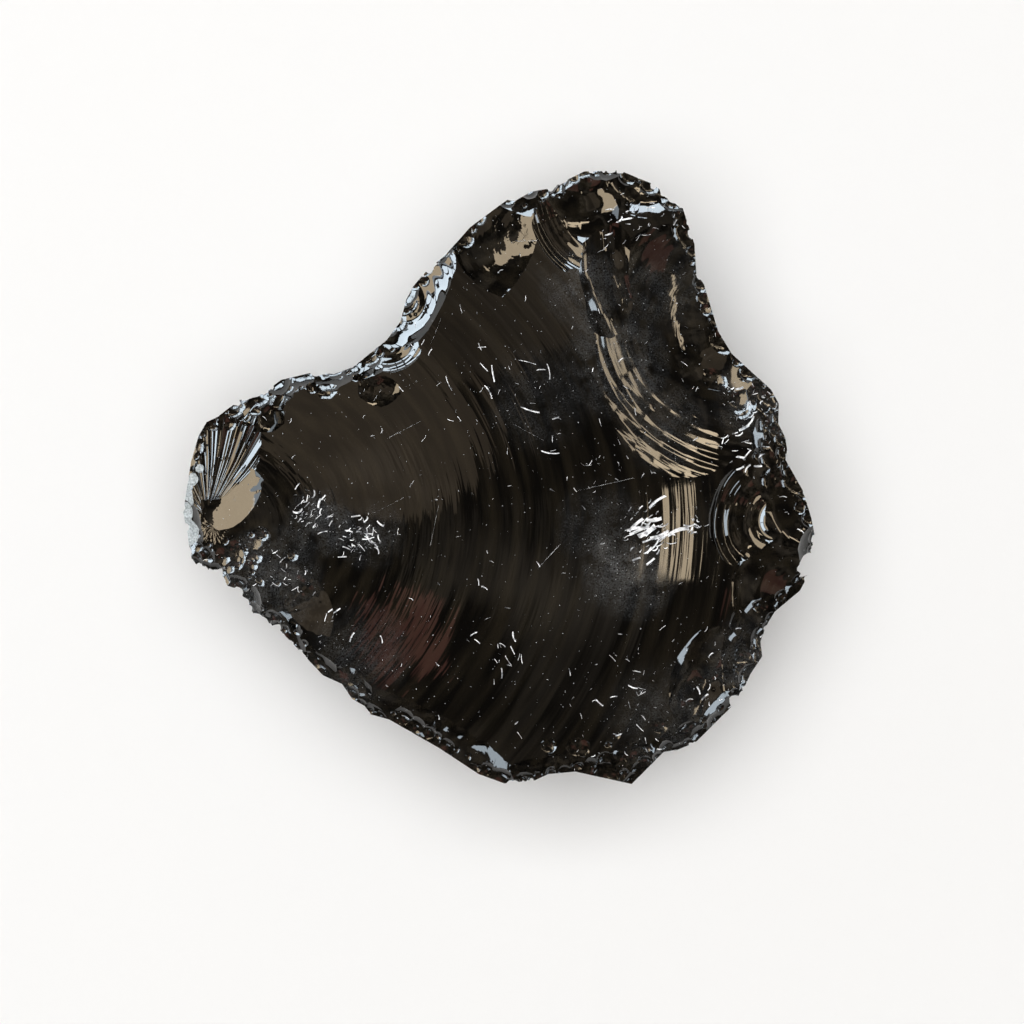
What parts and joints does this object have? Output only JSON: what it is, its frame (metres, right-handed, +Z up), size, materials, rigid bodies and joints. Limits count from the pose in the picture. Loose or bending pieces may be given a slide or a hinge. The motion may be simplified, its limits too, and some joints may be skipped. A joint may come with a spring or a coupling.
{
  "type": "obsidian chunk",
  "caption": "Hand-sized chunk of black volcanic glass with one broad rippled fracture face, a concave flaked trough, chipped rim and a flat facet to rest on",
  "frame": {"origin": "middle of the bounding box in plan, at the height of the flat facet that the stone rests on", "axes": "+Z up out of the big fracture face, +X from the pointed left end to the broad right end, +Y towards the narrow top end"},
  "size_m": [0.1002, 0.0976, 0.0314],
  "materials": {
    "obsidian": "glassy polished black, freshly broken volcanic glass"
  },
  "bodies": {
    "root": {"obsidian_chunk": "obsidian"}
  },
  "joints": []
}
